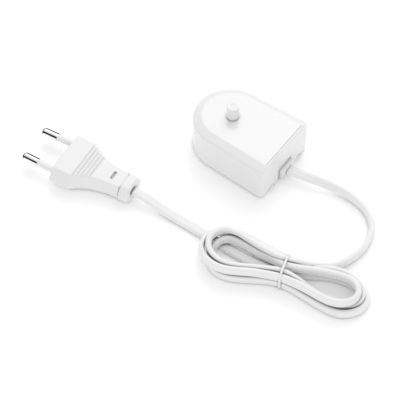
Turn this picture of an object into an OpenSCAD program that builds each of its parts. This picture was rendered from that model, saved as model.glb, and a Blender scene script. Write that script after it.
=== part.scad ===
// Toothbrush charging base with its flat mains cord and two-pin plug.
// Millimetres, +Z up. The origin is the middle of the base's footprint, on the surface it stands on.
// -Y is the flat face that the cord leaves, +Y is the round end.

/* [Charger base] */
// Length of the base, from the flat face to the round end
base_l = 52; // [50:0.5:56]
// Width of the base at its flat face
base_w = 40; // [39:0.5:42]
// Diameter of the round end
round_d = 37.7; // [36.5:0.1:38.5]
// Height of the ridge where the walls meet the bevel
ridge_h = 20; // [19.5:0.1:20.6]
// Height of the flat top
base_h = 22; // [21.6:0.1:23]
// Width of the bevel round the top
bevel_w = 4.3; // [3.5:0.1:5]
// Wall thickness of the top shell
wall = 1.8; // [1.5:0.1:2]
// Radius of the two upright edges at the flat face
corner_r = 1.3; // [1:0.1:1.8]

/* [Charging post] */
// Diameter of the post that the brush stands on
post_d = 5.9; // [5.8:0.05:6.4]
// Height of the post above the flat top
post_h = 7.6; // [7:0.1:9]
// How far the post is from the middle, towards the round end
post_y = 6; // [5:0.1:7]
// Wall thickness of the post
post_wall = 0.9; // [0.8:0.05:1]

/* [Cord exit] */
// Width of the cord grommet's outer block
grommet_w = 10; // [9:0.1:10.4]
// Height of the top of the grommet's outer block
grommet_top = 8.2; // [7.8:0.1:8.4]
// How far the grommet stands out of the flat face
grommet_out = 2; // [1.5:0.1:2]
// Gap between the grommet's block and the cut-out it sits in
grommet_gap = 0.5; // [0.3:0.05:0.6]

/* [Plug] */
// Width of the plug's front block, edge to edge
plug_w = 31.6; // [30:0.1:33]
// Thickness of the plug's front block
plug_t = 11.8; // [11.4:0.1:12.2]
// Length of the plug's body, without the pins
plug_l = 39.5; // [39:0.1:41]
// Diameter of the bare end of a pin
pin_d = 4; // [3.9:0.02:4.1]
// Length of a pin in front of the plug
pin_l = 19; // [18.5:0.1:19.5]
// Length of the pin's bare end
pin_bare = 9; // [8.5:0.1:10]
// Distance between the pins' axes at the plug's face
pin_gap = 18.6; // [18:0.1:19.2]
// Distance between the pins' axes at their tips
pin_tip_gap = 17.8; // [17.2:0.1:18]

/* [Cord] */
// Width of the flat cord
cord_w = 5; // [4.5:0.1:5.2]
// Thickness of the flat cord
cord_t = 3; // [2.6:0.1:3.1]
// Height of the folded bundle of cord
hank_h = 9.5; // [9:0.1:10.5]

/* [Hidden] */
$fn = 64;
eps = 0.01;
arc_steps = 48;
corner_steps = 5;

front_y = -base_l / 2;
round_r = round_d / 2;
round_y = base_l / 2 - round_r;
post_r = post_d / 2;
post_top = base_h + post_h;
post_foot_r = post_r + 0.4;
post_foot_h = 0.5;
post_edge = 0.5;

// Bottom cover and the two pry notches in front of it
cover_t = 2;
cover_gap = 0.15;
notch_x = 11.9;
notch_r = 3.1;
notch_h = 1.9;
tongue_t = 0.9;

// Circuit board on its standoffs, and what stands on it
standoff_h = 2;
board_t = 1.2;
board_z = cover_t + standoff_h;
board_top = board_z + board_t;
board_front = -18;
board_inset = wall + 1;
bobbin_r = 9.5;
bobbin_tube_r = 3.3;
bobbin_bore_r = 2.05;
bobbin_flange = 1;
bobbin_top = base_h - wall - 1.4;
rod_r = 1.8;
coil_r = 8.6;
lead_r = 0.8;
core_pitch = 2.2;

// Cord grommet
grommet_bottom = 1.4;
grommet_z = 5;
flange_w = 14;
flange_top = 10;
flange_bottom = cover_t + 0.2;
flange_t = 1.5;
tail_w = 6.4;
tail_l = 2.5;
tail_t = 4.4;

// Plug: where the middle of its face is, and the way it points
plug_x = -60.2;
plug_y = 65;
plug_z = 6.12;
plug_yaw = 6.5;
plug_pitch = 1.2;
pin_r = pin_d / 2;
sleeve_r = 1.8;
shank_r = 1.45;
shank_in = 8;
fit_gap = 0.03;
carrier_w = 24;
carrier_l = 6.5;
carrier_t = 7;
carrier_y = 1.2;
crimp_r = 2.3;
crimp_l = 5;
core_r = 1;
window_y = 28.2;
window_w = 5;
window_l = 1.6;
rib_count = 5;
rib_pitch = 1.9;
rib_y = 10.6;
rib_cut = 0.5;
// Plug outline: distance behind the face, half width of the flats, half width, half thickness
plug_sections = [[0, 11.4, plug_w / 2, plug_t / 2], [10, 11.4, plug_w / 2 - 0.2, plug_t / 2],
    [15, 8.6, 11.7, 5.7], [20, 6.8, 9.1, 5.4], [26, 5.6, 7.7, 5], [34.5, 5.1, 6.9, 4.7]];
collar_sections = [[34.5, 5.5, 7.7, 5.1], [plug_l, 5.4, 7.5, 5]];

// Cord from the grommet to the bundle, and from the plug to the bundle
loop_route = [[0, front_y - grommet_out, grommet_z], [0.5, -32, 4.9], [1.6, -37, 4.6], [3.2, -43, 4.2],
    [4.7, -50, 3.7], [5.7, -57, 3.2], [5.7, -63, 2.9], [4.5, -69, 2.7], [1.8, -74.8, 2.6],
    [-2.5, -79.2, 2.6], [-7.8, -82, 2.6], [-13.8, -83.2, 2.6], [-19.8, -82.3, 2.8],
    [-25, -80, 3.2], [-29.8, -77.2, 3.2]];
run_route = [[-55.73, 25.76, 5.3], [-55.3, 21, 4.9], [-55, 15, 3.8], [-54.8, 9, 2.6],
    [-54.6, 3, 1.8], [-54.4, -4, 1.5], [-54.3, -11, 1.5], [-54.2, -18, 1.5]];
cord_sides = 10;

// Folded bundle: a round lobe at each end of a neck that the tie goes round
neck = [-50, -59];
neck_r = 8;
left_lobe = [-59, -33.6];
left_lobe_r = 14;
mid_lobe = [-43.6, -78.5];
mid_lobe_r = 9.6;
right_lobe = [-45.4, -90.6];
right_lobe_r = 13.2;
stub_l = 9;
stub_w = 6;
stub_h = 6.5;
tie_yaw = 16;
tie_wire = 1;
tie_half_w = 9;
tie_clear = 0.2;

function direction(angle) = [cos(angle), sin(angle)];

// Angle of the outer tangent's contact radius, on the right of the line from circle 1 to circle 2
function tangent_angle(c1, r1, c2, r2) =
    atan2(c2.y - c1.y, c2.x - c1.x) - acos((r1 - r2) / norm(c2 - c1));

// The same on the left
function tangent_angle_left(c1, r1, c2, r2) =
    atan2(c2.y - c1.y, c2.x - c1.x) + acos((r1 - r2) / norm(c2 - c1));

// Points along an arc, both ends included
function arc_points(centre, r, from, to, steps) =
    [for (i = [0:steps]) centre + r * direction(from + (to - from) * i / steps)];

// Closed solid through a stack of rings, each with its points anticlockwise seen from the next ring
module skinned(rings) {
    sides = len(rings[0]);
    count = len(rings);
    skin = [for (i = [0:count - 2], k = [0:sides - 1])
        let (a = i * sides + k, b = i * sides + (k + 1) % sides)
        [a, a + sides, b + sides, b]];
    first = [for (k = [0:sides - 1]) k];
    last = [for (k = [sides - 1:-1:0]) (count - 1) * sides + k];
    polyhedron([for (ring = rings) each ring], concat(skin, [first, last]));
}

// Two circles and the straight sides that touch both
module lobe_outline(c1, r1, c2, r2) {
    right = tangent_angle(c1, r1, c2, r2);
    left = tangent_angle_left(c1, r1, c2, r2);
    translate(c1)
        circle(r1);
    translate(c2)
        circle(r2);
    polygon([c1 + r1 * direction(right), c2 + r2 * direction(right),
        c2 + r2 * direction(left), c1 + r1 * direction(left)]);
}

// Footprint of the base, as points in order: two rounded corners, flared sides and a round end
function base_outline(inset, front_inset) =
    let (edge_r = max(corner_r - inset, 0.3), arc_r = round_r - inset,
        corner = [base_w / 2 - inset - edge_r, front_y + front_inset + edge_r],
        left_corner = [-corner.x, corner.y], arc = [0, round_y],
        flare = tangent_angle(corner, edge_r, arc, arc_r))
    concat(arc_points(left_corner, edge_r, 180 - flare, 270, corner_steps),
        arc_points(corner, edge_r, 270, 360 + flare, corner_steps),
        arc_points(arc, arc_r, flare, 180 - flare, arc_steps));

// One level ring of the outline at a height
function base_ring(inset, front_inset, z) =
    [for (p = base_outline(inset, front_inset)) [p.x, p.y, z]];

// Upright walls up to the ridge, and the bevel from there to the top
module base_block(inset, front_inset, low, ridge, high) {
    skinned([base_ring(inset, front_inset, low), base_ring(inset, front_inset, ridge),
        base_ring(inset + bevel_w, front_inset, high)]);
}

module grommet_opening() {
    half_w = grommet_w / 2 + grommet_gap;
    translate([-half_w, front_y - 1, -1])
        cube([2 * half_w, wall + 2, grommet_top + grommet_gap + 1]);
}

module pry_notches(depth) {
    for (side = [-1, 1])
        translate([side * notch_x, front_y - 1, notch_h - notch_r])
            rotate([-90, 0, 0])
                cylinder(r = notch_r, h = depth + 1);
}

module top_shell() {
    color("white")
        difference() {
            union() {
                base_block(0, 0, 0, ridge_h, base_h);
                translate([0, post_y, base_h - eps])
                    cylinder(r = post_r, h = post_h - post_edge + eps);
                translate([0, post_y, post_top - post_edge])
                    cylinder(r1 = post_r, r2 = post_r - post_edge, h = post_edge);
                translate([0, post_y, base_h - eps])
                    cylinder(r = post_foot_r, h = post_foot_h + eps);
            }
            base_block(wall, wall, -1, ridge_h - wall / 2, base_h - wall);
            translate([0, post_y, base_h - wall - 1])
                cylinder(r = post_r - post_wall, h = post_h + 1 + wall - post_wall);
            grommet_opening();
            pry_notches(wall + 1);
        }
}

module bottom_cover() {
    tongue_w = grommet_w + grommet_gap;
    color("whitesmoke")
        difference() {
            union() {
                linear_extrude(cover_t)
                    polygon(base_outline(wall + cover_gap, wall + cover_gap));
                translate([-tongue_w / 2, front_y, 0])
                    cube([tongue_w, wall + 1, tongue_t]);
                for (x = [-12, 12], y = [-14, 14])
                    translate([x * (y > 0 ? 0.8 : 1), y, cover_t - eps])
                        cylinder(r = 1.5, h = standoff_h + eps);
            }
            pry_notches(wall + 3);
        }
}

module cord_grommet() {
    block_h = grommet_top - grommet_bottom;
    inner_y = front_y + wall + 0.1;
    color("white")
        union() {
            translate([-grommet_w / 2, front_y - grommet_out, grommet_bottom])
                cube([grommet_w, grommet_out + wall + 0.2, block_h]);
            translate([-flange_w / 2, inner_y, flange_bottom])
                cube([flange_w, flange_t, flange_top - flange_bottom]);
            translate([-tail_w / 2, inner_y, grommet_z - tail_t / 2])
                cube([tail_w, flange_t + tail_l, tail_t]);
        }
}

module ferrite_rod() {
    color("dimgray")
        translate([0, post_y, board_top + 0.1])
            cylinder(r = rod_r, h = post_top - post_wall - 0.4 - board_top);
}

module coil_bobbin() {
    color("beige")
        translate([0, post_y, board_top])
            difference() {
                union() {
                    cylinder(r = bobbin_r, h = bobbin_flange);
                    cylinder(r = bobbin_tube_r, h = bobbin_top - board_top);
                    translate([0, 0, bobbin_top - board_top - bobbin_flange])
                        cylinder(r = bobbin_r, h = bobbin_flange);
                }
                translate([0, 0, -1])
                    cylinder(r = bobbin_bore_r, h = bobbin_top);
            }
}

module primary_coil() {
    coil_z = board_top + bobbin_flange;
    coil_h = bobbin_top - bobbin_flange - coil_z;
    color("peru")
        translate([0, post_y, coil_z])
            difference() {
                cylinder(r = coil_r, h = coil_h);
                translate([0, 0, -1])
                    cylinder(r = bobbin_tube_r + 0.02, h = coil_h + 2);
            }
}

// Two lengths of enamelled wire that run down past the lower flange to the board
module coil_leads() {
    wire_r = 0.35;
    out = bobbin_r + wire_r + 0.3;
    color("chocolate")
        for (angle = [205, 335])
            translate([out * cos(angle), post_y + out * sin(angle), board_top])
                cylinder(r = wire_r, h = bobbin_flange + 2, $fn = 24);
}

module circuit_board() {
    color("darkgreen")
        translate([0, 0, board_z])
            linear_extrude(board_t)
                intersection() {
                    polygon(base_outline(board_inset, board_inset));
                    translate([-base_w, board_front])
                        square([2 * base_w, base_l]);
                }
}

module film_capacitor() {
    color("gold")
        translate([-15.8, -17, board_top])
            cube([8, 12, 8.8]);
}

module resonance_capacitor() {
    color("firebrick")
        translate([-15, -2.4, board_top])
            cube([3.4, 7, 7]);
}

module electrolytic_capacitor() {
    can_r = 4;
    can_h = 8.6;
    color("midnightblue")
        translate([11.4, -12.6, board_top])
            difference() {
                cylinder(r = can_r, h = can_h);
                translate([0, 0, 1.2])
                    rotate_extrude()
                        translate([can_r, 0])
                            circle(0.35, $fn = 16);
                translate([-can_r, -0.2, can_h - 0.3])
                    cube([2 * can_r, 0.4, 1]);
            }
}

// Axial part that lies along X: its body, and a wire bent down to the board at each end
module axial_part(body_l, body_r, pitch, lift) {
    wire_r = 0.3;
    translate([-body_l / 2, 0, lift])
        rotate([0, 90, 0])
            cylinder(r = body_r, h = body_l);
    translate([-pitch / 2, 0, lift])
        rotate([0, 90, 0])
            cylinder(r = wire_r, h = pitch, $fn = 24);
    for (side = [-1, 1])
        translate([side * pitch / 2, 0, 0])
            cylinder(r = wire_r, h = lift, $fn = 24);
}

module rectifier_diodes() {
    color("black")
        for (i = [0:3])
            translate([-2, -16 + 3.4 * i, board_top])
                axial_part(4.6, 1.3, 7.6, 1.5);
}

module fusible_resistor() {
    color("seagreen")
        translate([4.9, -11, board_top])
            rotate([0, 0, 90])
                axial_part(7, 1.5, 10, 1.8);
}

module bias_resistors() {
    color("tan")
        for (x = [11.4, 14])
            translate([x, 5.5, board_top])
                rotate([0, 0, 90])
                    axial_part(3.4, 0.9, 6, 1.1);
}

module switching_transistor() {
    color("black")
        translate([12.6, -3.4, board_top + 2])
            difference() {
                union() {
                    cylinder(r = 2.3, h = 4.8);
                    for (x = [-1.27, 0, 1.27])
                        translate([x, 0, -2])
                            cylinder(r = 0.25, h = 2.5, $fn = 24);
                }
                translate([-3, 1.2, -0.5])
                    cube([6, 3, 6]);
            }
}

// Insulated core from the back of the grommet, down to the front edge of the board
module mains_lead(side) {
    start = [side * core_pitch / 2, front_y + wall + flange_t + tail_l + 0.1, grommet_z];
    path = [start, start + [0, 0.6, 0.4], start + [side * 0.6, 1.4, 1.5],
        start + [side * 1.4, 2.6, 2.2], start + [side * 2, 3.6, 2], start + [side * 2.3, 4.3, 1.3]];
    swept_tube([for (p = path) p], 2 * lead_r, 2 * lead_r, 12);
}

module live_lead() {
    color("saddlebrown")
        mains_lead(-1);
}

module neutral_lead() {
    color("royalblue")
        mains_lead(1);
}

function unit(v) = v / norm(v);

// Direction of a route at point i: along the chord between its neighbours
function heading(route, i) =
    unit(route[min(i + 1, len(route) - 1)] - route[max(i - 1, 0)]);

// One oval ring of the tube at point i, its long axis level
function oval_ring(route, i, w, t, sides) =
    let (ahead = heading(route, i), across = unit(cross([0, 0, 1], ahead)), up = cross(ahead, across))
    [for (k = [0:sides - 1])
        let (a = 360 * (k + 0.5) / sides)
        route[i] + across * (w / 2 * cos(a)) + up * (t / 2 * sin(a))];

// Tube of oval section, swept along a route
module swept_tube(route, w, t, sides) {
    skinned([for (i = [0:len(route) - 1]) oval_ring(route, i, w, t, sides)]);
}

module cord_loop() {
    color("white")
        swept_tube(loop_route, cord_w, cord_t, cord_sides);
}

module cord_plug_run() {
    color("white")
        swept_tube(run_route, cord_w, cord_t, cord_sides);
}

// Short straight end of the bundle, square to the last step of the cord that enters it
module hank_stub(route, h) {
    last = route[len(route) - 1];
    step = last - route[len(route) - 2];
    translate([last.x, last.y, 0])
        rotate([0, 0, atan2(step.y, step.x)])
            translate([0, -stub_w / 2, 0])
                cube([stub_l, stub_w, h]);
}

module hank_shape() {
    linear_extrude(hank_h)
        union() {
            lobe_outline(neck, neck_r, left_lobe, left_lobe_r);
            lobe_outline(neck, neck_r, right_lobe, right_lobe_r);
            lobe_outline(neck, neck_r, mid_lobe, mid_lobe_r);
            lobe_outline(mid_lobe, mid_lobe_r, right_lobe, right_lobe_r);
        }
}

module tie_ring(grow) {
    half_w = tie_half_w + grow;
    low = max(-grow, 0) - (grow > 0 ? 1 : 0);
    translate([neck.x, neck.y, 0])
        rotate([0, 0, tie_yaw])
            translate([-half_w, -tie_wire / 2 - grow, low])
                cube([2 * half_w, tie_wire + 2 * grow, hank_h + tie_wire - low + grow]);
}

module tie_hole(shrink) {
    half_w = tie_half_w - tie_wire - shrink;
    translate([neck.x, neck.y, 0])
        rotate([0, 0, tie_yaw])
            translate([-half_w, -tie_wire, tie_wire + shrink])
                cube([2 * half_w, 2 * tie_wire, hank_h - tie_wire - 2 * shrink]);
}

module cord_hank() {
    color("white")
        difference() {
            union() {
                hank_shape();
                hank_stub(loop_route, stub_h);
                hank_stub(run_route, cord_t);
            }
            difference() {
                tie_ring(tie_clear);
                tie_hole(tie_clear);
            }
        }
}

module cord_tie() {
    color("gainsboro")
        difference() {
            tie_ring(0);
            tie_hole(0);
        }
}

// Plug frame: X across, +Y back towards the cord, pins along -Y, at the pins' middle plane
module in_plug_frame() {
    translate([plug_x, plug_y, plug_z])
        rotate([0, 0, 180 + plug_yaw])
            rotate([-plug_pitch, 0, 0])
                children();
}

// Six-sided ring of the plug: flat above and below, widest at its middle
function plug_ring(s) = [for (p = [[-s[2], 0], [-s[1], s[3]], [s[1], s[3]], [s[2], 0],
    [s[1], -s[3]], [-s[1], -s[3]]]) [p.x, s[0], p.y]];

// Half angle by which the pins lean towards each other
pin_lean = atan((pin_gap - pin_tip_gap) / 2 / pin_l);

// Frame of one pin: its axis along +Z, out of the face, starting in the plane of the face
module in_pin_frame(side) {
    in_plug_frame()
        translate([side * pin_gap / 2, 0, 0])
            rotate([90, 0, 0])
                rotate([0, -side * pin_lean, 0])
                    children();
}

// Insulated core inside the plug, from its crimp to the back of the plug
module plug_core_shape(side, grow) {
    from = [side * pin_gap / 2, shank_in + crimp_l];
    to = [side * core_pitch / 2, window_y - 3];
    step = to - from;
    in_plug_frame()
        translate([from.x, from.y, 0])
            rotate([0, 0, atan2(step.y, step.x)])
                rotate([0, 90, 0])
                    cylinder(r = core_r + grow, h = norm(step) + grow);
}

module crimp_shape(side, grow) {
    in_pin_frame(side)
        translate([0, 0, -shank_in - crimp_l - grow])
            cylinder(r = crimp_r + grow, h = crimp_l + 2 * grow);
}

module carrier_shape(grow) {
    in_plug_frame()
        translate([-carrier_w / 2 - grow, carrier_y - grow, -carrier_t / 2 - grow])
            cube([carrier_w + 2 * grow, carrier_l + 2 * grow, carrier_t + 2 * grow]);
}

module pin_bores(r, from, to) {
    for (side = [-1, 1])
        in_pin_frame(side)
            translate([0, 0, from])
                cylinder(r = r, h = to - from);
}

module plug_body() {
    color("white")
        difference() {
            in_plug_frame()
                union() {
                    skinned([for (s = plug_sections) plug_ring(s)]);
                    skinned([for (s = collar_sections) plug_ring(s)]);
                }
            carrier_shape(fit_gap);
            pin_bores(sleeve_r + fit_gap, -shank_in - 0.1, 1);
            for (side = [-1, 1]) {
                crimp_shape(side, fit_gap);
                plug_core_shape(side, fit_gap);
            }
            in_plug_frame()
                for (face = [-1, 1])
                    translate([-window_w / 2, window_y - window_l / 2, face * 4.6 - 1])
                        cube([window_w, window_l, 2]);
            in_plug_frame()
                for (i = [0:rib_count - 1], face = [-1, 1])
                    translate([-12 + i, rib_y + rib_pitch * i, face * plug_t / 2 - rib_cut])
                        cube([24 - 2 * i, 0.8, 2 * rib_cut]);
        }
}

module pin_carrier() {
    color("lightgray")
        difference() {
            carrier_shape(0);
            pin_bores(sleeve_r + fit_gap, -carrier_y - 2.2, 1);
            pin_bores(shank_r + fit_gap, -shank_in - 1, 1);
        }
}

// Bare end with a rounded tip, and a thinner shank inside the sleeve
module mains_pin(side) {
    in_pin_frame(side)
        union() {
            translate([0, 0, -shank_in])
                cylinder(r = shank_r, h = pin_l - pin_bare + shank_in + eps);
            translate([0, 0, pin_l - pin_bare])
                cylinder(r = pin_r, h = pin_bare - pin_r);
            translate([0, 0, pin_l - pin_r])
                sphere(r = pin_r);
        }
}

module live_pin() {
    color("silver")
        mains_pin(-1);
}

module neutral_pin() {
    color("silver")
        mains_pin(1);
}

module pin_sleeve(side) {
    sleeve_back = -carrier_y - 2;
    in_pin_frame(side)
        difference() {
            translate([0, 0, sleeve_back])
                cylinder(r = sleeve_r, h = pin_l - pin_bare - sleeve_back - 0.02);
            translate([0, 0, sleeve_back - 1])
                cylinder(r = shank_r + fit_gap, h = pin_l);
        }
}

module live_pin_sleeve() {
    color("white")
        pin_sleeve(-1);
}

module neutral_pin_sleeve() {
    color("white")
        pin_sleeve(1);
}

module crimp_terminals() {
    color("goldenrod")
        for (side = [-1, 1])
            difference() {
                crimp_shape(side, 0);
                plug_core_shape(side, fit_gap);
            }
}

module plug_cores() {
    color("saddlebrown")
        for (side = [-1, 1])
            plug_core_shape(side, 0);
}

top_shell();
bottom_cover();
cord_grommet();
ferrite_rod();
coil_bobbin();
primary_coil();
coil_leads();
circuit_board();
film_capacitor();
resonance_capacitor();
electrolytic_capacitor();
rectifier_diodes();
fusible_resistor();
bias_resistors();
switching_transistor();
live_lead();
neutral_lead();
cord_loop();
cord_hank();
cord_plug_run();
cord_tie();
plug_body();
pin_carrier();
live_pin();
neutral_pin();
live_pin_sleeve();
neutral_pin_sleeve();
crimp_terminals();
plug_cores();
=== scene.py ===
import math

import bmesh
import bpy
from mathutils import Matrix, Vector


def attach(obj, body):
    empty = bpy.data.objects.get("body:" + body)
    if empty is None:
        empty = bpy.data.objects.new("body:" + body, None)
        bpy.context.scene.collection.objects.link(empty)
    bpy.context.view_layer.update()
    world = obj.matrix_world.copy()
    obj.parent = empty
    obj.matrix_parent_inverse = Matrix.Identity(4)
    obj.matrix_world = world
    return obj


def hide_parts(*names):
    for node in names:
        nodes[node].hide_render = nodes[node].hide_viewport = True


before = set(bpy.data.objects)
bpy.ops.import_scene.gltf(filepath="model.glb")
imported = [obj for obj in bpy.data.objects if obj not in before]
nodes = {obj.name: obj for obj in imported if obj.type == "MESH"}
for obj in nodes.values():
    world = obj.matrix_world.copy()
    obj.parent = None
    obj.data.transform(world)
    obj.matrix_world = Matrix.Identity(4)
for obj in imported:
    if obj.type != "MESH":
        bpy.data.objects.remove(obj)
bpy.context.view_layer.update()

MM = 0.001


# ---------------------------------------------------------------- camera
AIM = Vector((-38.0, -1.7, 0.0)) * MM
CAM_AZ, CAM_EL, CAM_DIST = math.radians(-53.9), math.radians(53.9), 0.788

back = Vector((math.sin(CAM_AZ) * math.cos(CAM_EL), -math.cos(CAM_AZ) * math.cos(CAM_EL), math.sin(CAM_EL)))
cam_data = bpy.data.cameras.new("camera")
cam_data.sensor_width = 36.0
cam_data.lens = 144.0
cam_data.clip_start, cam_data.clip_end = 0.01, 10.0
camera = bpy.data.objects.new("camera", cam_data)
bpy.context.scene.collection.objects.link(camera)
camera.location = AIM + back * CAM_DIST
camera.rotation_mode = "QUATERNION"
camera.rotation_quaternion = (-back).to_track_quat("-Z", "Y")
bpy.context.scene.camera = camera


# ---------------------------------------------------------------- helpers
def add_object(name, verts, faces, smooth=True):
    mesh = bpy.data.meshes.new(name)
    mesh.from_pydata([tuple(v) for v in verts], [], faces)
    mesh.update()
    for p in mesh.polygons:
        p.use_smooth = smooth
    o = bpy.data.objects.new(name, mesh)
    bpy.context.scene.collection.objects.link(o)
    return o


# ---------------------------------------------------------------- cord
CORD_W, CORD_T = 5.0, 3.0
# Along the cord's centre: x, y, z in millimetres, and the roll of its wide side out of level in degrees
loop_route = [(0, -28, 5, 0), (0.5, -32, 4.9, 6), (1.6, -37, 4.6, 18), (3.2, -43, 4.2, 35),
    (4.7, -50, 3.7, 55), (5.7, -57, 3.2, 72), (5.7, -63, 2.9, 84), (4.5, -69, 2.7, 90),
    (1.8, -74.8, 2.6, 90), (-2.5, -79.2, 2.6, 90), (-7.8, -82, 2.6, 90), (-13.8, -83.2, 2.6, 90),
    (-19.8, -83, 2.6, 90), (-25.4, -81.6, 2.6, 90), (-31, -79.4, 2.6, 90)]
# First turn: top of the lobe nearer the plug, then down to the bottom of the other lobe
turn_a = [(-36.1, -75.7, 2.8, 90), (-39.9, -70.3, 4.1, 80), (-42.9, -64.4, 5.8, 58), (-45.8, -57.9, 7.2, 34),
    (-47.1, -51.6, 8.3, 12), (-47.5, -45, 8.7, 10), (-47.6, -38.6, 8.8, 25), (-48.1, -32.8, 9.1, 50),
    (-49.5, -27.8, 9.5, 75), (-52.2, -24.4, 9.8, 90), (-55.8, -22.8, 10, 90), (-59.3, -22.7, 10, 90),
    (-62.6, -24.2, 9.7, 90), (-65.3, -27.5, 9.1, 90), (-66.6, -31.8, 8.6, 90), (-66.3, -36.2, 8.1, 90),
    (-64.6, -40.6, 7.8, 90), (-61.9, -45.2, 7.6, 90), (-58.9, -50.1, 7.4, 90), (-55.9, -55.2, 7.3, 90),
    (-53.4, -60.2, 7.2, 90), (-52.5, -65.5, 6.8, 90), (-51.9, -71, 4.9, 90), (-51.7, -77, 3.1, 90),
    (-51.9, -83, 2.6, 90), (-51.8, -88.6, 2.6, 90), (-50.6, -93.2, 2.6, 90), (-47.9, -97.2, 3, 90),
    (-44.2, -99, 3.7, 90), (-40.1, -98, 4.5, 90), (-37.2, -94.9, 5.2, 90), (-36, -90.5, 5.8, 90),
    (-35.8, -85.4, 6, 90), (-36.9, -80.1, 5.8, 90), (-39.2, -74.9, 4.9, 90), (-41.9, -69.8, 3.4, 90),
    (-44.2, -64.4, 2.6, 90), (-46, -58, 2.6, 90)]
# Second turn: middle of the lobe nearer the plug, then the top of the other
turn_b = [(-46.1, -51.5, 3, 90), (-46.3, -45, 3.8, 90), (-46.2, -38.5, 4.4, 90), (-46.4, -32, 4.6, 90),
    (-47.5, -26.9, 4.8, 90), (-50.2, -22.6, 5.1, 90), (-53.8, -20.3, 5.4, 90), (-57.8, -19.6, 5.8, 90),
    (-61.8, -20.2, 6.4, 90), (-65.3, -22.2, 7.1, 90), (-68.1, -25.6, 7.8, 90), (-69.7, -30.1, 8.1, 90),
    (-69.8, -34.8, 8.1, 90), (-68.2, -39.8, 8.1, 90), (-65.3, -44.6, 8, 90), (-62.1, -49.6, 7.8, 90),
    (-59.3, -55.2, 7.5, 90), (-56.7, -61.2, 7.5, 90), (-55.8, -66.6, 7.8, 90), (-55.2, -72, 8, 90),
    (-55, -77.5, 8.1, 90), (-54.9, -83, 8.1, 90), (-54.5, -87.6, 8.1, 90), (-53.2, -91.6, 8.1, 90),
    (-50.8, -94.8, 8, 90), (-47.6, -97, 8.2, 90), (-43.9, -97.4, 8.4, 90), (-40.8, -95.5, 8.7, 90),
    (-39, -91.9, 8.8, 90), (-39, -87.2, 8.4, 90), (-40.3, -82, 7.9, 90), (-42.3, -76.8, 7.7, 90),
    (-44.9, -71.2, 7.6, 90), (-47.5, -65.4, 7, 90), (-49.4, -59, 6, 90)]
# Third turn: bottom of both lobes, and out along the floor to the plug
turn_c = [(-48.9, -52.6, 5.3, 98), (-49.7, -46.2, 5, 104), (-49.7, -40, 4.9, 105), (-49.7, -34.4, 5, 104),
    (-50.8, -29.6, 5.3, 98), (-53.6, -26.4, 5.4, 92), (-57.4, -25.2, 4.8, 90), (-61, -25, 3.6, 90),
    (-64.4, -25.8, 2.7, 90), (-67, -28.2, 2.5, 90), (-68.8, -31.6, 2.5, 90), (-69.3, -35.4, 2.5, 90),
    (-68.4, -39.8, 2.5, 90), (-66.1, -44.6, 2.5, 90), (-62.9, -49.6, 2.5, 90), (-59.5, -54.6, 2.5, 90),
    (-56.6, -61.1, 2.5, 90), (-55.7, -67, 2.5, 90), (-55.7, -73, 2.5, 90), (-55.9, -79, 2.5, 90),
    (-55.9, -85, 2.5, 90), (-55.5, -90.6, 2.5, 90), (-54, -95.2, 2.5, 90), (-50.8, -98.4, 2.5, 90),
    (-47.3, -100.7, 2.5, 90), (-43.4, -101.2, 2.5, 90), (-39.9, -100.3, 2.5, 64), (-37.2, -97.4, 2.2, 38),
    (-36.1, -93.5, 1.8, 16), (-36, -89.1, 1.6, 4), (-36.9, -84.2, 1.55, 0), (-38.3, -79.4, 1.5, 0),
    (-41.1, -74.6, 1.5, 0), (-44.3, -70, 1.5, 0), (-47.4, -65.2, 1.5, 0), (-50, -59.4, 1.5, 0),
    (-52.2, -52.6, 1.5, 0), (-53.5, -46, 1.5, 0), (-54.2, -39.5, 1.5, 0), (-54.4, -33, 1.5, 0),
    (-54.3, -26, 1.5, 0)]
run_route = [(-54.2, -18, 1.5, 0), (-54.3, -11, 1.5, 0), (-54.4, -4, 1.5, 0), (-54.6, 3, 1.8, 0),
    (-54.8, 9, 2.6, 0), (-55, 15, 3.8, 0), (-55.3, 21, 4.9, 0), (-55.73, 25.76, 5.3, 0)]


def b_spline(points, steps):
    """Uniform cubic B-spline that starts and ends at the first and last of the points."""
    ends = [points[0] * 2 - points[1]] + points + [points[-1] * 2 - points[-2]]
    out = []
    for i in range(len(ends) - 3):
        p0, p1, p2, p3 = ends[i:i + 4]
        for s in range(steps + (i == len(ends) - 4)):
            t = s / steps
            out.append((p0 * (1 - t) ** 3 + p1 * (3 * t ** 3 - 6 * t ** 2 + 4)
                        + p2 * (-3 * t ** 3 + 3 * t ** 2 + 3 * t + 1) + p3 * t ** 3) / 6)
    return out


centre4 = b_spline([Vector(p) for p in loop_route + turn_a + turn_b + turn_c + run_route], 6)
path = [p.to_3d() * MM for p in centre4]
rolls = [math.radians(p[3]) for p in centre4]


def section(w, t, n=28):
    """Two round cores side by side under one sheath: a flat oval with a shallow groove on each flat."""
    groove_depth, groove_w = 0.16, 0.42
    pts = []
    for k in range(n):
        a = 2 * math.pi * k / n
        c, s = math.cos(a), math.sin(a)
        x = (w - t) / 2 * math.copysign(min(1, abs(c) * 1.6), c) + t / 2 * c
        y = t / 2 * s * (1 - groove_depth * math.exp(-(x / groove_w) ** 2))
        pts.append((x, y))
    return pts


def tube(name, path, rolls, ring):
    verts, faces = [], []
    n = len(path)
    m = len(ring)
    for i, p in enumerate(path):
        ahead = (path[min(i + 1, n - 1)] - path[max(i - 1, 0)]).normalized()
        across = Vector((0, 0, 1)).cross(ahead).normalized()
        up = ahead.cross(across)
        c, s = math.cos(rolls[i]), math.sin(rolls[i])
        u = across * c + up * s
        v = up * c - across * s
        for x, y in ring:
            verts.append(p + u * x * MM + v * y * MM)
    for i in range(n - 1):
        for k in range(m):
            a, b = i * m + k, i * m + (k + 1) % m
            faces.append((a, b, b + m, a + m))
    faces.append(tuple(reversed(range(m))))
    faces.append(tuple((n - 1) * m + k for k in range(m)))
    return add_object(name, verts, faces)


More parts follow.
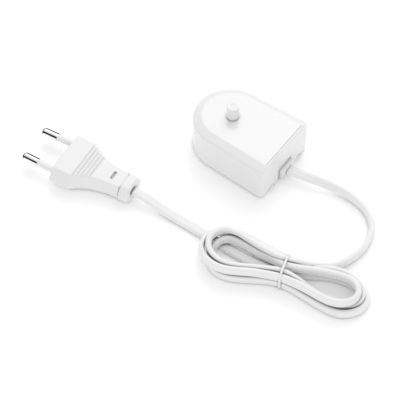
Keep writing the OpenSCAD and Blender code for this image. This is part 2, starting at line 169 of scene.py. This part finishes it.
cord = tube("mains_cord", path, rolls, section(CORD_W, CORD_T))


# ---------------------------------------------------------------- rings, rounding and cutting
def skin(name, rings, close=True, smooth=True):
    """Surface through rings of equal point counts, closed by a flat face at each end."""
    m = len(rings[0])
    verts = [Vector(p) * MM for ring in rings for p in ring]
    faces = []
    for i in range(len(rings) - 1):
        for k in range(m):
            a, b = i * m + k, i * m + (k + 1) % m
            faces.append((a, b, b + m, a + m))
    if close:
        faces.append(tuple(reversed(range(m))))
        faces.append(tuple((len(rings) - 1) * m + k for k in range(m)))
    return add_object(name, verts, faces, smooth)


def box(name, x0, x1, y0, y1, z0, z1):
    ring = [(x0, y0), (x1, y0), (x1, y1), (x0, y1)]
    return skin(name, [[(x, y, z) for x, y in ring] for z in (z0, z1)], smooth=False)


def turned(name, centre, profile, steps=64, axis="Z"):
    """Solid of revolution from (radius, height) pairs."""
    rings = []
    for r, h in profile:
        ring = []
        for k in range(steps):
            a = 2 * math.pi * k / steps
            if axis == "Z":
                ring.append((centre[0] + r * math.cos(a), centre[1] + r * math.sin(a), centre[2] + h))
            else:
                ring.append((centre[0] + r * math.cos(a), centre[1] + h, centre[2] - r * math.sin(a)))
        rings.append(ring)
    return skin(name, rings)


def quarter(p0, corner, p1, steps=6):
    """Curve from p0 to p1 that is tangent to the lines through the corner."""
    out = []
    for i in range(steps + 1):
        t = i / steps
        out.append(tuple(a * (1 - t) ** 2 + c * 2 * t * (1 - t) + b * t ** 2
                         for a, c, b in zip(p0, corner, p1)))
    return out


def bake(o, *modifiers):
    """Apply the modifiers and keep the outcome as the object's own mesh."""
    made = []
    for kind, settings in modifiers:
        mod = o.modifiers.new(kind.lower(), kind)
        for key, value in settings.items():
            setattr(mod, key, value)
        made.append(mod)
    bpy.context.view_layer.update()
    mesh = bpy.data.meshes.new_from_object(o.evaluated_get(bpy.context.evaluated_depsgraph_get()))
    for mod in made:
        o.modifiers.remove(mod)
    old = o.data
    o.data = mesh
    bpy.data.meshes.remove(old)
    mesh.name = o.name


def rounded(o, width, segments, **limit):
    bake(o, ("BEVEL", {"width": width * MM, "segments": segments, **limit}))
    return o


def cut(o, *cutters):
    for c in cutters:
        bake(o, ("BOOLEAN", {"object": c, "operation": "DIFFERENCE", "solver": "EXACT"}))
        drop(c)


def join(o, *others):
    """Add the other meshes to this one, each still a closed body of its own."""
    bm = bmesh.new()
    bm.from_mesh(o.data)
    for other in others:
        bm.from_mesh(other.data)
        drop(other)
    bm.to_mesh(o.data)
    bm.free()


def drop(o):
    mesh = o.data
    bpy.data.objects.remove(o)
    bpy.data.meshes.remove(mesh)


def soften(o, angle=40):
    """Smooth shading with hard edges only where the surface really breaks."""
    for p in o.data.polygons:
        p.use_smooth = True
    o.data.set_sharp_from_angle(angle=math.radians(angle))
    bake(o, ("WEIGHTED_NORMAL", {"keep_sharp": True, "weight": 80}))


# ---------------------------------------------------------------- top shell
BASE_L, BASE_W, ROUND_R, BASE_H, RIDGE_H, BEVEL_W = 52.0, 40.0, 18.85, 22.0, 20.0, 4.3
FRONT_Y = -BASE_L / 2
WALL = 1.8
FRONT_ROUND = 0.75
UNDERCUT, UNDERCUT_H = 1.3, 0.55
OPENING_X, OPENING_H = 5.2, 8.4
NOTCH_X, NOTCH_Z, NOTCH_R = 11.9, -0.6, 3.1
GROOVE_AT, GROOVE_W, GROOVE_DEPTH = 1.05, 0.35, 0.25
POST_Y, POST_R, POST_H, POST_NECK = 6.0, 2.95, 7.6, 0.3


def outline(inset, front, z, corner_r=2.1):
    """Footprint of the base at a height: two rounded front corners, flared sides and a round end."""
    r = max(corner_r - inset, 0.6)
    cx, cy = BASE_W / 2 - inset - r, FRONT_Y + front + r
    arc_r, arc_y = ROUND_R - inset, BASE_L / 2 - ROUND_R
    flare = math.atan2(arc_y - cy, -cx) - math.acos((r - arc_r) / math.hypot(cx, arc_y - cy))
    pts = []

    def arc(x, y, radius, a0, a1, steps):
        for i in range(steps + 1):
            a = a0 + (a1 - a0) * i / steps
            pts.append((x + radius * math.cos(a), y + radius * math.sin(a), z))

    arc(-cx, cy, r, math.pi - flare, 1.5 * math.pi, 8)
    arc(cx, cy, r, 1.5 * math.pi, 2 * math.pi + flare, 8)
    arc(0, arc_y, arc_r, flare, math.pi - flare, 72)
    return pts


def front_inset(z):
    """Small round along the front edge of the flat top."""
    t = max(0.0, (z - BASE_H + 0.8) / 0.8)
    return FRONT_ROUND * (1 - math.sqrt(max(0.0, 1 - t * t)))


slope = math.atan2(BASE_H - RIDGE_H, BEVEL_W)
along = (math.cos(slope), math.sin(slope))
# Inset from the footprint and height, from the table up to the flat top
profile = [(UNDERCUT, 0), (UNDERCUT, UNDERCUT_H)]
profile += quarter((0.4, 0.6), (0, 0.6), (0, 0.9), 4)
profile += [(0, 1.1), (0, 18.2)]
profile += quarter((0, RIDGE_H - 1.2), (0, RIDGE_H), (1.2 * along[0], RIDGE_H + 1.2 * along[1]), 8)
profile += [(1.5 * along[0], RIDGE_H + 1.5 * along[1])]
profile += [(BEVEL_W * share, RIDGE_H + 2 * share) for share in (0.62, 0.72, 0.8)]
profile += quarter((BEVEL_W - 0.5 * along[0], BASE_H - 0.5 * along[1]), (BEVEL_W, BASE_H),
                   (BEVEL_W + 0.5, BASE_H), 6)
profile += [(BEVEL_W + 0.8, BASE_H)]


def front_at(inset, z):
    if z < BASE_H:
        return front_inset(z)
    return FRONT_ROUND + max(0, inset - BEVEL_W - 0.5)


shell = skin("charger_shell", [outline(inset, front_at(inset, z), z) for inset, z in profile])
cavity = ((0, -1), (0, RIDGE_H - 0.9), (BEVEL_W, BASE_H - WALL))
hollow = skin("hollow", [outline(inset + WALL, WALL, z) for inset, z in cavity])
opening = box("opening", -OPENING_X, OPENING_X, FRONT_Y - 1, FRONT_Y + WALL + 1, -1, OPENING_H)
notch_profile = [(NOTCH_R, 0), (NOTCH_R, WALL + 2)]
notches = [turned("notch", (side * NOTCH_X, FRONT_Y - 1, NOTCH_Z), notch_profile, axis="Y")
           for side in (-1, 1)]
groove_x = BASE_W / 2 - BEVEL_W - 0.4
groove = box("groove", -groove_x, groove_x, FRONT_Y + GROOVE_AT, FRONT_Y + GROOVE_AT + GROOVE_W,
             BASE_H - GROOVE_DEPTH, BASE_H + 1)
cut(shell, hollow, opening, groove, *notches)

# The post stands on a narrow neck, with a bead at its foot and a shallow dish in its top
post_profile = [(POST_R - POST_NECK, -0.3), (POST_R - POST_NECK, 0.42)]
post_profile += quarter((POST_R + 0.05, 0.45), (POST_R + 0.25, 0.45), (POST_R + 0.25, 0.6), 4)
post_profile += quarter((POST_R + 0.25, 0.65), (POST_R + 0.22, 0.95), (POST_R + 0.03, 1.0), 4)
post_profile += [(POST_R, z) for z in (1.1, 1.5, POST_H - 1.0, POST_H - 0.6)]
post_profile += quarter((POST_R, POST_H - 0.45), (POST_R, POST_H), (POST_R - 0.45, POST_H), 6)
post_profile += [(POST_R - 0.6, POST_H), (1.75, POST_H), (1.6, POST_H - 0.04), (1.45, POST_H - 0.12),
                 (0.6, POST_H - 0.12)]
join(shell, turned("post", (0, POST_Y, BASE_H), post_profile, steps=72))
soften(shell)

# ---------------------------------------------------------------- cord grommet
# The block in the opening, its collar outside, and its flange and tail behind the wall
block = box("cord_exit_block", -5, 5, FRONT_Y - 2, FRONT_Y + 2, 1.4, 8.2)
cut(block, box("ledge", -6, 6, FRONT_Y - 3, FRONT_Y - 1.1, 0, 3))
rounded(block, 0.28, 3, limit_method="ANGLE")
exit_collar = rounded(box("exit_collar", -3.3, 3.3, FRONT_Y - 2.3, FRONT_Y - 0.5, 2.9, 7.1), 0.7, 5,
                      limit_method="ANGLE")
flange = rounded(box("flange", -7, 7, FRONT_Y + 1.9, FRONT_Y + 3.4, 2.2, 10), 0.2, 2)
tail = rounded(box("tail", -3.2, 3.2, FRONT_Y + 1.9, FRONT_Y + 5.9, 2.8, 7.2), 0.5, 3)
join(block, exit_collar, flange, tail)
soften(block, 30)

# ---------------------------------------------------------------- plug body
PLUG_AT, PLUG_TURN, PLUG_TILT = Vector((-60.2, 65, 6.12)), math.radians(186.5), math.radians(-1.2)
plug_frame = (Matrix.Translation(PLUG_AT * MM) @ Matrix.Rotation(PLUG_TURN, 4, "Z")
              @ Matrix.Rotation(PLUG_TILT, 4, "X"))
PLUG_L, BLOCK_L = 39.5, 10
BLOCK_FLAT, BLOCK_W, BLOCK_T = 11.4, 15.8, 5.9
# Behind the face, half width of the flats, half width, half thickness
WAIST = [(BLOCK_L, 11.4, 15.6, 5.9), (15, 8.6, 11.7, 5.7), (20, 6.8, 9.1, 5.4), (26, 5.6, 7.7, 5.0),
         (34.5, 5.1, 6.9, 4.7)]
GRIPS, GRIP_FIRST, GRIP_STEP, GRIP_HALF_W, GRIP_DEPTH = 5, 11, 1.9, 0.72, 0.45
COLLAR_FLAT, COLLAR_W, COLLAR_T = 4.8, 8.2, 5.3
WINDOW_Y, WINDOW_W, WINDOW_L = 28.2, 5.0, 1.6


def waist(y):
    """Section at a distance behind the plug's face, smooth from the block to the collar."""
    if y <= BLOCK_L:
        return BLOCK_FLAT, BLOCK_W - 0.02 * y, BLOCK_T
    i = max(k for k in range(len(WAIST) - 1) if WAIST[k][0] <= y)
    p1, p2 = Vector(WAIST[i][1:]), Vector(WAIST[i + 1][1:])
    y1, y2 = WAIST[i][0], WAIST[i + 1][0]
    m1 = (p2 - p1) / (y2 - y1) if i == 0 else (p2 - Vector(WAIST[i - 1][1:])) / (y2 - WAIST[i - 1][0])
    last = i == len(WAIST) - 2
    m2 = (p2 - p1) / (y2 - y1) if last else (Vector(WAIST[i + 2][1:]) - p1) / (WAIST[i + 2][0] - y1)
    t, h = (y - y1) / (y2 - y1), y2 - y1
    v = (p1 * (2 * t ** 3 - 3 * t ** 2 + 1) + m1 * h * (t ** 3 - 2 * t ** 2 + t)
         + p2 * (3 * t ** 2 - 2 * t ** 3) + m2 * h * (t ** 3 - t ** 2))
    return tuple(v)


def hexagon(y, flat, half_w, half_t, round_by=0.8, groove=0.0):
    """Six-sided ring of the plug with rounded corners; the groove lowers both flats."""
    corners = [(-half_w, 0), (-flat, half_t), (flat, half_t), (half_w, 0), (flat, -half_t), (-flat, -half_t)]
    ring = []
    for k in range(6):
        c, before, after = Vector(corners[k]), Vector(corners[k - 1]), Vector(corners[(k + 1) % 6])
        p0 = c + (before - c).normalized() * min(round_by, (before - c).length / 3)
        p1 = c + (after - c).normalized() * min(round_by, (after - c).length / 3)
        for x, z in quarter(tuple(p0), tuple(c), tuple(p1), 4):
            edge = min(1.0, max(0.0, (abs(z) / half_t - 0.86) / 0.1))
            ring.append((x, y, z - math.copysign(groove * edge, z)))
    return ring


def grip(y):
    """Depth of the grip grooves across the flats."""
    for i in range(GRIPS):
        d = abs(y - GRIP_FIRST - GRIP_STEP * i) / GRIP_HALF_W
        if d < 1:
            return GRIP_DEPTH * math.cos(d * math.pi / 2) ** 2
    return 0.0


# From the face back: rounded edge, plain block, grips, neck, collar
rings = []
for inset, y in quarter((0.9, 0.0), (0, 0), (0, 0.9), 5):
    rings.append(hexagon(y, BLOCK_FLAT - inset * 0.7, BLOCK_W - inset, BLOCK_T - inset))
for y in (1.4, 3, 6, 8.6, 9.4, 9.8):
    rings.append(hexagon(y, *waist(y)))
y = float(BLOCK_L)
while y < 20.01:
    rings.append(hexagon(y, *waist(y), groove=grip(y)))
    y += 0.18
for y in (20.8, 22, 23.5, 25, 26.5, 28, 29.5, 31, 32.5, 33.6, 34.2):
    rings.append(hexagon(y, *waist(y)))
for inset, y in quarter((1.3, 34.3), (0.1, 34.6), (0, 35.8), 6):
    rings.append(hexagon(y, COLLAR_FLAT - inset * 0.3, COLLAR_W - inset, COLLAR_T - inset * 0.45, 1.9))
rings.append(hexagon(37, COLLAR_FLAT, COLLAR_W, COLLAR_T, 1.9))
for inset, y in quarter((0, PLUG_L - 1.1), (0, PLUG_L), (1.1, PLUG_L), 6):
    rings.append(hexagon(y, COLLAR_FLAT - inset * 0.3, COLLAR_W - 0.1 - inset, COLLAR_T - 0.1 - inset, 1.9))
for r, y in ((4.2, PLUG_L), (3.8, PLUG_L - 0.1), (3.4, PLUG_L - 0.35)):
    rings.append(hexagon(y, r - 1.5, r, r - 1.1, 1.2))
plug = skin("plug_shell", [list(reversed(r)) for r in rings])
for face in (-1, 1):
    slot_cut = box("window", -WINDOW_W / 2, WINDOW_W / 2, WINDOW_Y - WINDOW_L / 2, WINDOW_Y + WINDOW_L / 2,
                   face * 4.9 - 1.0, face * 4.9 + 1.0)
    cut(plug, rounded(slot_cut, 0.3, 3))
soften(plug, 38)
plug.matrix_world = plug_frame

# ---------------------------------------------------------------- wire tie round the bundle
TIE, TIE_ACROSS = Vector((-49.5, -59.8, 0)), Vector((-0.951, -0.309, 0))
TIE_ALONG = Vector((-TIE_ACROSS.y, TIE_ACROSS.x, 0))
TIE_R, TIE_END_R, TWIST_R = 0.5, 0.38, 0.42
# Across the bundle and height, once round
tie_route = [(8.4, 0.8), (9.1, 2.6), (9.2, 6.0), (8.8, 8.8), (7.0, 10.6), (4.2, 10.6), (1.6, 9.9),
             (-0.8, 9.3), (-2.8, 9.2), (-4.8, 8.7), (-6.5, 7.4), (-7.2, 5.4), (-7.2, 3.4), (-6.6, 1.7),
             (-5, 0.6), (-2, 0.5), (3, 0.5), (6, 0.5)]


def closed_spline(points, steps):
    """Catmull-Rom curve through the points and back to the first."""
    n, out = len(points), []
    for i in range(n):
        p0, p1, p2, p3 = (Vector(points[(i + k - 1) % n]) for k in range(4))
        for k in range(steps):
            t = k / steps
            out.append((p1 * 2 + (p2 - p0) * t + (p0 * 2 - p1 * 5 + p2 * 4 - p3) * t * t
                        + (p1 * 3 - p0 - p2 * 3 + p3) * t ** 3) / 2)
    return out


def wire(name, points, radius, closed, sides=12):
    """Coated wire, slightly wider along the bundle than it is thick."""
    verts, faces, n = [], [], len(points)
    for i in range(n):
        before, after = (i - 1, (i + 1) % n) if closed else (max(i - 1, 0), min(i + 1, n - 1))
        ahead = (points[after] - points[before]).normalized()
        u = (TIE_ALONG - ahead * TIE_ALONG.dot(ahead)).normalized()
        v = ahead.cross(u)
        for k in range(sides):
            w = 2 * math.pi * k / sides
            verts.append((points[i] + (u * 1.15 * math.cos(w) + v * 0.85 * math.sin(w)) * radius) * MM)
    for i in range(n if closed else n - 1):
        for k in range(sides):
            a, b = i * sides + k, i * sides + (k + 1) % sides
            c, d = ((i + 1) % n) * sides + (k + 1) % sides, ((i + 1) % n) * sides + k
            faces.append((a, b, c, d))
    if not closed:
        faces += [tuple(reversed(range(sides))), tuple((n - 1) * sides + k for k in range(sides))]
    return add_object(name, verts, faces)


tie_points = [TIE + TIE_ACROSS * p.x + Vector((0, 0, p.y)) for p in closed_spline(tie_route, 6)]
tie = wire("wire_tie", tie_points, TIE_R, True)
ends = []
for turn in (0, math.pi):
    pts = []
    for i in range(37):
        t = i / 36
        a = turn + 1.5 * math.pi * t
        pts.append(TIE + TIE_ACROSS * (8.9 + 1.2 * t) + TIE_ALONG * (TWIST_R * math.cos(a))
                   + Vector((0, 0, 1.05 + TWIST_R * math.sin(a))))
    ends.append(wire("tie_end", pts, TIE_END_R, False, 8))
join(tie, *ends)


# ---------------------------------------------------------------- materials
# Reach of the painted shade that ambient occlusion puts in seams and crevices
PAINTED_SHADE_REACH = 1.6 * MM


def node(nt, kind, **inputs):
    n = nt.nodes.new("ShaderNode" + kind)
    for key, value in inputs.items():
        n.inputs[key.replace("_", " ")].default_value = value
    return n


def material(name, color, rough, grain=700.0, mottle=0.03, bump=0.04, texture="TexNoise", painted_crevice_shade=0.0,
             **sockets):
    """Shader with slightly uneven colour, roughness and surface, and painted shade in its seams and crevices,
    where ambient occlusion darkens the colour by the given share.
    """
    m = bpy.data.materials.new(name)
    m.use_nodes = True
    nt = m.node_tree
    shader = nt.nodes["Principled BSDF"]
    for key, value in sockets.items():
        shader.inputs[key.replace("_", " ")].default_value = value
    coords = nt.nodes.new("ShaderNodeTexCoord")
    tex = node(nt, texture, Scale=grain)
    nt.links.new(coords.outputs["Object"], tex.inputs["Vector"])
    height = tex.outputs["Distance"] if texture == "TexVoronoi" else tex.outputs["Fac"]
    ramp = nt.nodes.new("ShaderNodeValToRGB")
    ramp.color_ramp.elements[0].color = (*(c * (1 - mottle) for c in color), 1)
    ramp.color_ramp.elements[1].color = (*color, 1)
    ramp.color_ramp.elements[0].position, ramp.color_ramp.elements[1].position = 0.3, 0.7
    nt.links.new(height, ramp.inputs["Fac"])
    base = ramp.outputs["Color"]
    # Painted shade: ambient occlusion darkens the colour in seams and crevices, mixed in by the given share
    if painted_crevice_shade:
        shade = node(nt, "AmbientOcclusion", Distance=PAINTED_SHADE_REACH)
        shade.samples = 12
        blend = nt.nodes.new("ShaderNodeMix")
        blend.data_type = "RGBA"
        blend.inputs["Factor"].default_value = painted_crevice_shade
        nt.links.new(base, shade.inputs["Color"])
        nt.links.new(base, blend.inputs["A"])
        nt.links.new(shade.outputs["Color"], blend.inputs["B"])
        base = blend.outputs["Result"]
    nt.links.new(base, shader.inputs["Base Color"])
    spread = node(nt, "MapRange", To_Min=rough * 0.98, To_Max=rough * 1.02)
    nt.links.new(height, spread.inputs["Value"])
    nt.links.new(spread.outputs["Result"], shader.inputs["Roughness"])
    relief = node(nt, "Bump", Strength=bump, Distance=0.0002)
    nt.links.new(height, relief.inputs["Height"])
    nt.links.new(relief.outputs["Normal"], shader.inputs["Normal"])
    return m


def plug_material(name, color, rough):
    """The body's plastic, greyer inside the two narrow windows."""
    # Painted shade in its seams, as on the other white plastics
    m = material(name, color, rough, grain=1500, mottle=0.006, bump=0.002, painted_crevice_shade=0.5)
    nt = m.node_tree
    shader = nt.nodes["Principled BSDF"]
    plain = shader.inputs["Base Color"].links[0].from_socket
    coords, split = nt.nodes["Texture Coordinate"], nt.nodes.new("ShaderNodeSeparateXYZ")
    nt.links.new(coords.outputs["Object"], split.inputs["Vector"])

    def within(axis, centre, half):
        far = nt.nodes.new("ShaderNodeMath")
        far.operation = "COMPARE"
        far.inputs[1].default_value, far.inputs[2].default_value = centre * MM, half * MM
        nt.links.new(split.outputs[axis], far.inputs[0])
        return far.outputs[0]

    both = nt.nodes.new("ShaderNodeMath")
    both.operation = "MULTIPLY"
    nt.links.new(within("X", 0, WINDOW_W / 2 + 0.01), both.inputs[0])
    nt.links.new(within("Y", WINDOW_Y, WINDOW_L / 2 + 0.01), both.inputs[1])
    mix = nt.nodes.new("ShaderNodeMix")
    mix.data_type = "RGBA"
    mix.inputs["B"].default_value = (0.6, 0.6, 0.6, 1)
    nt.links.new(both.outputs[0], mix.inputs["Factor"])
    nt.links.new(plain, mix.inputs["A"])
    nt.links.new(mix.outputs["Result"], shader.inputs["Base Color"])
    return m


def metal_material(name, out_axis, side_axis):
    """Polished nickel with a painted reflection: its colour and specular tint are darkened where its surface
    faces the given ways, as if a dark room were mirrored in it.
    """
    m = material(name, (0.98, 0.98, 0.98), 0.12, grain=1500, mottle=0.05, bump=0.02, Metallic=1.0)
    nt = m.node_tree
    shader, base = nt.nodes["Principled BSDF"], nt.nodes["Color Ramp"]
    geometry = nt.nodes.new("ShaderNodeNewGeometry")

    def painted_reflection_band(axis, stops):
        dot = nt.nodes.new("ShaderNodeVectorMath")
        dot.operation = "DOT_PRODUCT"
        dot.inputs[1].default_value = axis
        nt.links.new(geometry.outputs["Normal"], dot.inputs[0])
        scale = node(nt, "MapRange", From_Min=-1.0, From_Max=1.0)
        nt.links.new(dot.outputs["Value"], scale.inputs["Value"])
        ramp = nt.nodes.new("ShaderNodeValToRGB")
        for position, level in stops:
            e = ramp.color_ramp.elements.new(position)
            e.color = (level, level, level, 1)
        ramp.color_ramp.elements[0].color = ramp.color_ramp.elements[-1].color = (1, 1, 1, 1)
        nt.links.new(scale.outputs["Result"], ramp.inputs["Fac"])
        return ramp.outputs["Color"]

    # Painted reflection: dark bands low on both sides of each pin and round its tip, multiplied into the
    # colour and the specular tint
    sides = painted_reflection_band(side_axis, [(0.06, 0.02), (0.34, 0.02), (0.4, 1), (0.76, 1), (0.79, 0.02),
                                  (0.925, 0.02), (0.945, 0.9)])
    tip_reflection = painted_reflection_band(out_axis, [(0.6, 1), (0.72, 0.9), (0.78, 0.05), (0.9, 0.08), (0.95, 0.6)])
    color = base.outputs["Color"]
    for band in (sides, tip_reflection):
        mix = nt.nodes.new("ShaderNodeMix")
        mix.data_type, mix.blend_type = "RGBA", "MULTIPLY"
        mix.inputs["Factor"].default_value = 1.0
        nt.links.new(color, mix.inputs["A"])
        nt.links.new(band, mix.inputs["B"])
        color = mix.outputs["Result"]
    nt.links.new(color, shader.inputs["Base Color"])
    nt.links.new(color, shader.inputs["Specular Tint"])
    return m


# Directions that fix the painted reflection on the pins: out along them, and level across them
pin_out = (plug_frame.to_3x3() @ Vector((0, -1, 0))).normalized()
pin_side = Vector((0, 0, 1)).cross(pin_out).normalized()
# The white plastics and the cord get painted shade in their seams and crevices
slots = {
    "white_gloss": material("white_gloss", (0.83, 0.83, 0.83), 0.07, grain=2000, mottle=0.008, bump=0.003,
                            painted_crevice_shade=0.5),
    "white_satin": material("white_satin", (0.84, 0.84, 0.84), 0.3, grain=1500, mottle=0.01, bump=0.01,
                            painted_crevice_shade=0.6),
    "cord_sheath": material("cord_sheath", (0.87, 0.87, 0.87), 0.36, grain=1600, mottle=0.02, bump=0.02,
                            painted_crevice_shade=0.8),
    "plug_white": plug_material("plug_white", (0.83, 0.83, 0.83), 0.28),
    "pin_metal": metal_material("pin_metal", pin_out, pin_side),
    "sleeve_plastic": material("sleeve_plastic", (0.88, 0.88, 0.88), 0.3, grain=500, mottle=0.1,
                               texture="TexWave"),
    "tie_coating": material("tie_coating", (0.88, 0.88, 0.88), 0.3, grain=1800, mottle=0.03),
    "ferrite": material("ferrite", (0.05, 0.05, 0.055), 0.6, grain=2500, mottle=0.4, texture="TexVoronoi"),
    "bobbin_nylon": material("bobbin_nylon", (0.72, 0.7, 0.64), 0.4, grain=600, mottle=0.05),
    "enamelled_copper": material("enamelled_copper", (0.75, 0.32, 0.16), 0.25, grain=1200, mottle=0.35,
                                 texture="TexWave", Metallic=1.0),
    "board_laminate": material("board_laminate", (0.12, 0.2, 0.07), 0.45, grain=1500, mottle=0.3,
                               texture="TexVoronoi"),
    "capacitor_yellow": material("capacitor_yellow", (0.75, 0.55, 0.08), 0.35, grain=500, mottle=0.08),
    "capacitor_red": material("capacitor_red", (0.5, 0.08, 0.05), 0.3, grain=500, mottle=0.1),
    "capacitor_sleeve": material("capacitor_sleeve", (0.02, 0.03, 0.1), 0.3, grain=500, mottle=0.2),
    "black_epoxy": material("black_epoxy", (0.02, 0.02, 0.02), 0.5, grain=1800, mottle=0.3),
    "resistor_green": material("resistor_green", (0.1, 0.3, 0.15), 0.4, grain=800, mottle=0.15),
    "resistor_tan": material("resistor_tan", (0.6, 0.45, 0.28), 0.4, grain=800, mottle=0.15),
    "core_brown": material("core_brown", (0.2, 0.09, 0.04), 0.4, grain=900, mottle=0.1),
    "core_blue": material("core_blue", (0.04, 0.12, 0.4), 0.4, grain=900, mottle=0.1),
    "crimp_brass": material("crimp_brass", (0.8, 0.6, 0.25), 0.3, grain=1500, mottle=0.15, Metallic=1.0),
}
slot_of = {
    "bottom_cover": "white_satin", "ferrite_rod": "ferrite", "coil_bobbin": "bobbin_nylon",
    "primary_coil": "enamelled_copper", "coil_leads": "enamelled_copper", "circuit_board": "board_laminate",
    "film_capacitor": "capacitor_yellow", "resonance_capacitor": "capacitor_red",
    "electrolytic_capacitor": "capacitor_sleeve", "rectifier_diodes": "black_epoxy",
    "fusible_resistor": "resistor_green", "bias_resistors": "resistor_tan",
    "switching_transistor": "black_epoxy", "live_lead": "core_brown", "neutral_lead": "core_blue",
    "pin_carrier": "bobbin_nylon", "live_pin": "pin_metal", "neutral_pin": "pin_metal",
    "live_pin_sleeve": "sleeve_plastic", "neutral_pin_sleeve": "sleeve_plastic",
    "crimp_terminals": "crimp_brass", "plug_cores": "core_brown",
}
for name, slot in slot_of.items():
    nodes[name].data.materials.clear()
    nodes[name].data.materials.append(slots[slot])
for o, slot, old in ((shell, "white_gloss", ("top_shell",)), (block, "white_satin", ("cord_grommet",)),
                     (plug, "plug_white", ("plug_body",)), (tie, "tie_coating", ("cord_tie",)),
                     (cord, "cord_sheath", ("cord_loop", "cord_hank", "cord_plug_run"))):
    o.data.materials.clear()
    o.data.materials.append(slots[slot])
    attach(o, "root")
    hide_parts(*old)

# ---------------------------------------------------------------- floor and lights
WORLD, KEY_W, SHEEN_W, FILL_W, GLOW = 0.8, 1.4, 2.0, 1.0, 0.12
floor = add_object("floor", [(-3, -3, 0), (3, -3, 0), (3, 3, 0), (-3, 3, 0)], [(0, 1, 2, 3)], smooth=False)
floor.data.materials.append(material("floor", (0.96, 0.96, 0.96), 0.8, grain=3, mottle=0.004, bump=0.0,
                                     Emission_Color=(1, 1, 1, 1), Emission_Strength=GLOW))

world = bpy.data.worlds.new("world")
bpy.context.scene.world = world
world.use_nodes = True
world.node_tree.nodes["Background"].inputs[0].default_value = (1, 1, 1, 1)
world.node_tree.nodes["Background"].inputs[1].default_value = WORLD


def area(name, loc, target, size, power):
    d = bpy.data.lights.new(name, "AREA")
    d.shape = "SQUARE"
    d.size = size
    d.energy = power
    o = bpy.data.objects.new(name, d)
    bpy.context.scene.collection.objects.link(o)
    o.location = loc
    o.rotation_mode = "QUATERNION"
    o.rotation_quaternion = (Vector(target) - Vector(loc)).to_track_quat("-Z", "Y")
    return o


area("key", (0.76, 0.1, 0.6), (-0.04, -0.01, 0), 0.7, KEY_W)
area("sheen", (0.5, 0.35, 0.84), (0, 0, 0.02), 0.7, SHEEN_W)
area("fill", (-0.8, -0.62, 0.5), (-0.04, -0.01, 0), 1.0, FILL_W)
bpy.context.scene.view_settings.view_transform = "Standard"
